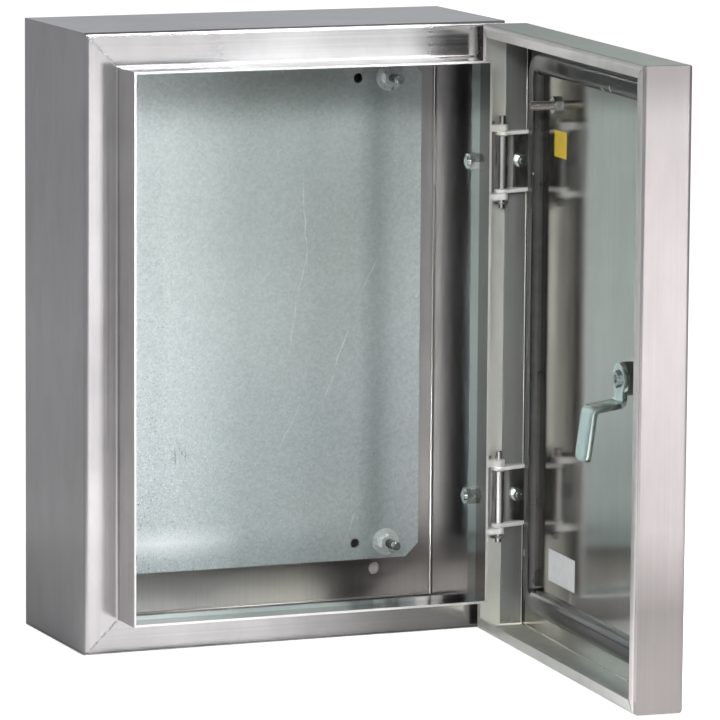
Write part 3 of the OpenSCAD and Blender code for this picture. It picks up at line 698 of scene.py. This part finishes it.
# Painted shade darkens the free edge at its foot and a little at its top.
on_free = below(tree, x, SHEET - BODY_W / 2)
free_edge_shade = total(tree, spread(tree, z, 1, 0, -0.135, -0.085), spread(tree, z, 0, 0.5, 0.165, 0.190))
metal = darkened(tree, metal, product(tree, on_free, free_edge_shade), (0.50, 0.50, 0.49))
tree.links.new(metal, shader.inputs["Base Color"])
outer = spread(tree, grain, 0.14, 0.24, 0.75, 1.25)
inner = spread(tree, grain, 0.09, 0.14, 0.75, 1.25)
rough = total(tree, chosen(tree, inside, outer, inner), product(tree, rim, 0.28))
tree.links.new(rough, shader.inputs["Roughness"])
bumped(tree, grain, 0.000006)
put_on(door_steel, "door_pan")

# ---------------------------------------------------------------------------------------------
# Doubler. A separate strip, brushed dull, stiffens the hinge side. Its weld at the foot has burnt
# the steel yellow and brown.
strip_steel, tree, shader, place = new_finish("brushed_strip_steel", 1)
place = shut_door_place(tree, place)
*_, z = axes(tree, place)
grain = total(tree, streaks(tree, place, (700, 12, 4)), streaks(tree, place, (12, 900, 4)))
metal = mixed(tree, spread(tree, grain, 0, 1, 0.75, 1.25), (0.22, 0.225, 0.215), (0.29, 0.295, 0.285))
burnt = product(
    tree, spread(tree, z, 1, 0, -0.196, -0.189),
    spread(tree, streaks(tree, place, (160, 160, 260), 4.0), 0, 1, 0.4, 0.6),
)
tree.links.new(darkened(tree, metal, burnt, (0.50, 0.36, 0.16)), shader.inputs["Base Color"])
tree.links.new(spread(tree, grain, 0.40, 0.55, 0.75, 1.25), shader.inputs["Roughness"])
bumped(tree, grain, 0.00001)
put_on(strip_steel, "hinge_doubler")

# ---------------------------------------------------------------------------------------------
# Seal. A strip of black foam rubber with a smooth skin, which dust and handling have greyed.
# Small pale spots are scattered over it.
rubber, tree, shader, place = new_finish("seal_rubber", 0)
pores = streaks(tree, place, (900, 900, 900), 4.0)
cloud = streaks(tree, place, (40, 40, 40), 3.0)
black = mixed(tree, spread(tree, cloud, 0, 1), (0.018, 0.018, 0.018), (0.04, 0.04, 0.038))
pale_spots = spread(tree, streaks(tree, place, (130, 130, 90), 1.5), 0, 1, 0.735, 0.75)
tree.links.new(mixed(tree, pale_spots, black, (0.62, 0.64, 0.62)), shader.inputs["Base Color"])
tree.links.new(spread(tree, pores, 0.14, 0.26), shader.inputs["Roughness"])
shader.inputs["Specular IOR Level"].default_value = 0.8
bumped(tree, pores, 0.00001)
put_on(rubber, "gasket")

# ---------------------------------------------------------------------------------------------
# Labels. A yellow earthing label and a larger white one are stuck to the inside of the door.
# Both are bare film, a little rubbed. Each has its middle, width, height and two colours.
FILM_T = 0.00012
LABELS = {
    "earth_label": ((0.081, 0.1265), 0.022, 0.017, ((0.62, 0.42, 0.02), (0.78, 0.56, 0.05))),
    "white_label": ((0.0695, -0.1485), 0.049, 0.021, ((0.66, 0.67, 0.68), (0.80, 0.80, 0.80))),
}
OPEN_DOOR = (
    Matrix.Translation((HINGE_X, HINGE_Y, 0))
    @ Matrix.Rotation(math.radians(DOOR_OPEN), 4, "Z")
    @ Matrix.Translation((-HINGE_X, -HINGE_Y, 0))
)
for name, ((middle_x, middle_z), width, height, colours) in LABELS.items():
    film = even_finish(f"{name}_film", 0, 180, 5.0, colours, (0.3, 0.5), 0.00001)
    bpy.ops.object.select_all(action="DESELECT")
    bpy.ops.mesh.primitive_grid_add(
        x_subdivisions=12, y_subdivisions=6, size=1, rotation=(math.pi / 2, 0, 0)
    )
    label = bpy.context.object
    label.name = label.data.name = name
    bpy.ops.object.transform_apply(location=True, rotation=True, scale=True)
    label.data.transform(Matrix.Diagonal((width, 1, height, 1)))
    skin = label.modifiers.new("film", "SOLIDIFY")
    skin.thickness = FILM_T
    edge = label.modifiers.new("edge", "BEVEL")
    edge.width = FILM_T / 3
    bpy.ops.object.modifier_apply(modifier="film")
    bpy.ops.object.modifier_apply(modifier="edge")
    stuck = Matrix.Translation((middle_x, PANEL_IN + FILM_T / 2, middle_z))
    settle(label, film, "door", OPEN_DOOR @ stuck)

# ---------------------------------------------------------------------------------------------
# Earth stud. Bare steel, darker than the fixings, with a rolled thread from end to end. It is
# welded to the inside of the door.
EARTH_PLACE = (0.089, PANEL_IN, 0.151)
EARTH_LONG, EARTH_TIP, EARTH_TIP_WIDE = 0.0185, 0.0011, 0.72
OUT_OF_DOOR = Matrix.Rotation(-math.pi / 2, 4, "X")
stud_steel = even_finish(
    "bare_stud_steel", 1, 500, 3.0, ((0.34, 0.31, 0.29), (0.46, 0.43, 0.41)), (0.14, 0.24)
)
stud = new_solid("earth_stud_thread", 20, STUD_R)
at = threaded(0, EARTH_LONG - EARTH_TIP)
draw_up(at, EARTH_TIP, EARTH_TIP_WIDE)
close_solid(stud, 35)
on_door = OPEN_DOOR @ Matrix.Translation(EARTH_PLACE) @ OUT_OF_DOOR
settle(stud, stud_steel, "door", on_door)
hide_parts("earth_stud")
put_on(stud_steel, "earth_stud")
put_on(zinc, "earth_nut", "lock_nut", "lock_insert")

# ---------------------------------------------------------------------------------------------
# Lever. Thick zinc plated strip with a round head, cranked so that its end reaches behind the
# flange. The crank slopes down a little, and the end leans away from the door. The strip is
# drawn from the top of the head down, 0 being the middle of the lock.
LEVER_PLACE = (-0.085, -0.1344, 0)
LEVER_T, LEVER_R, LEVER_NECK, NECK_END = 0.0032, 0.0100, 0.0072, -0.01165
CAP_HALF, CAP_HIGH = 0.0013, 0.0001
BEND_R, STEP_SLOPE, STEP_LONG = 0.0040, 9, 0.0140
END_LEAN, END_LONG, TOE_R = 7.8, 0.0291, 0.0040
HEAD_STEPS, BEND_STEPS, TOE_STEPS = 12, 7, 6
EDGE_WORN = 0.0006
lever_zinc = even_finish(
    "greenish_zinc_plating", 1, 120, 2.0, ((0.66, 0.78, 0.755), (0.74, 0.86, 0.835)), (0.16, 0.22)
)


def strip_on(point, heading, half, length, new_half):
    """Extrudes the strip's end along its heading, which is the angle from straight down."""
    step = Vector((0, math.sin(heading), -math.cos(heading))) * length
    bpy.ops.mesh.extrude_region_move(TRANSFORM_OT_translate={"value": step})
    point = point + step
    if abs(new_half - half) > 1e-7:
        bpy.ops.transform.resize(value=(new_half / half, 1, 1), center_override=point)
    return point, new_half


def bend_on(point, half, start, turn, wider=0.0):
    """Bends the strip by turn from the heading start, and widens each side by wider."""
    chord = 2 * BEND_R * math.sin(abs(turn) / BEND_STEPS / 2)
    first_half = half
    for i in range(BEND_STEPS):
        new_half = first_half + wider * (i + 1) / BEND_STEPS
        point, half = strip_on(point, start + turn * (i + 0.5) / BEND_STEPS, half, chord, new_half)
    return point, half


bpy.ops.object.select_all(action="DESELECT")
bpy.ops.mesh.primitive_plane_add(size=2 * CAP_HALF)
lever = bpy.context.object
lever.name = lever.data.name = "cranked_lever"
bpy.ops.object.mode_set(mode="EDIT")
bpy.ops.mesh.select_all(action="SELECT")
bpy.ops.transform.rotate(value=math.pi / 2, orient_axis="X", center_override=(0, 0, 0))
bpy.ops.transform.resize(value=(1, 1, CAP_HIGH / (2 * CAP_HALF)), center_override=(0, 0, 0))
bpy.ops.transform.translate(value=(0, LEVER_T / 2, LEVER_R - CAP_HIGH / 2))
bpy.ops.mesh.select_all(action="DESELECT")
strip = bmesh.from_edit_mesh(lever.data)
cap_end = min(corner.co.z for corner in strip.verts)
for corner in strip.verts:
    corner.select = corner.co.z < cap_end + CAP_HIGH / 10
strip.select_flush(True)
bmesh.update_edit_mesh(lever.data)
point, half = Vector((0, LEVER_T / 2, cap_end)), CAP_HALF
neck_angle = math.pi - math.asin(LEVER_NECK / LEVER_R)
for i in range(2, HEAD_STEPS + 1):
    turn = neck_angle * i / HEAD_STEPS
    drop = point.z - LEVER_R * math.cos(turn)
    point, half = strip_on(point, 0, half, drop, LEVER_R * math.sin(turn))
point, half = strip_on(point, 0, half, point.z - NECK_END, LEVER_NECK)
step_heading, lean = math.radians(90 - STEP_SLOPE), math.radians(END_LEAN)
point, half = bend_on(point, half, 0, step_heading, LEVER_R - LEVER_NECK)
point, half = strip_on(point, step_heading, half, STEP_LONG, LEVER_R)
point, half = bend_on(point, half, step_heading, lean - step_heading)
point, half = strip_on(point, lean, half, END_LONG - TOE_R, LEVER_R)
toe_step = math.pi / 2 / TOE_STEPS
for i in range(1, TOE_STEPS + 1):
    drop = TOE_R * (math.sin(toe_step * i) - math.sin(toe_step * (i - 1)))
    new_half = LEVER_R - TOE_R * (1 - math.cos(toe_step * i))
    point, half = strip_on(point, lean, half, drop, new_half)
bpy.ops.object.mode_set(mode="OBJECT")
thick = lever.modifiers.new("thickness", "SOLIDIFY")
thick.thickness, thick.offset, thick.use_even_offset = LEVER_T, 0, True
bpy.ops.object.modifier_apply(modifier="thickness")
worn = lever.modifiers.new("worn_edges", "BEVEL")
worn.width, worn.segments, worn.angle_limit = EDGE_WORN, 3, math.radians(35)
bpy.ops.object.modifier_apply(modifier="worn_edges")
bpy.ops.object.mode_set(mode="EDIT")
close_solid(lever, 30)
settle(lever, lever_zinc, "cam", OPEN_DOOR @ Matrix.Translation(LEVER_PLACE))
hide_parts("cam_lever")
put_on(lever_zinc, "cam_lever")

# ---------------------------------------------------------------------------------------------
# Lever screw. A low zinc plated hexagon head with a dished face, dark in its dish. It holds the
# lever on the lock's insert.
SCREW_R, SCREW_H, SCREW_EASE, FACE_WIDE = 0.0058, 0.0022, 0.0005, 0.90
SOCKET_R, SOCKET_DEEP, SOCKET_TAPER = 0.0030, 0.0010, 0.92
POINT_DEEP, POINT_TAPER, SCREW_SUNK = 0.0003, 0.5, 0.0001
screw_zinc = even_finish(
    "dull_screw_zinc", 1, 300, 2.0, ((0.40, 0.45, 0.43), (0.55, 0.61, 0.59)), (0.20, 0.30)
)
screw = new_solid("low_lever_screw", 6, SCREW_R)
at = draw_up(0, SCREW_H - SCREW_EASE)
at = draw_up(at, SCREW_EASE, FACE_WIDE)
at = draw_up(at, 0, SOCKET_R / (SCREW_R * FACE_WIDE))
at = draw_up(at, -SOCKET_DEEP, SOCKET_TAPER)
draw_up(at, -POINT_DEEP, POINT_TAPER)
close_solid(screw, 25)
on_lever = Matrix.Translation(Vector(LEVER_PLACE) + Vector((0, LEVER_T - SCREW_SUNK, 0)))
settle(screw, screw_zinc, "cam", OPEN_DOOR @ on_lever @ OUT_OF_DOOR)
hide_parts("lever_screw")
put_on(screw_zinc, "lever_screw")

# ---------------------------------------------------------------------------------------------
# Lock body. Black die-cast zinc with a fine texture, held in the door by the large nut behind
# the panel.
lock_black = even_finish(
    "black_die_cast_lock", 0, 700, 4.0,
    ((0.015, 0.014, 0.014), (0.035, 0.033, 0.032)), (0.35, 0.5), 0.00003,
)
put_on(lock_black, "lock_body")
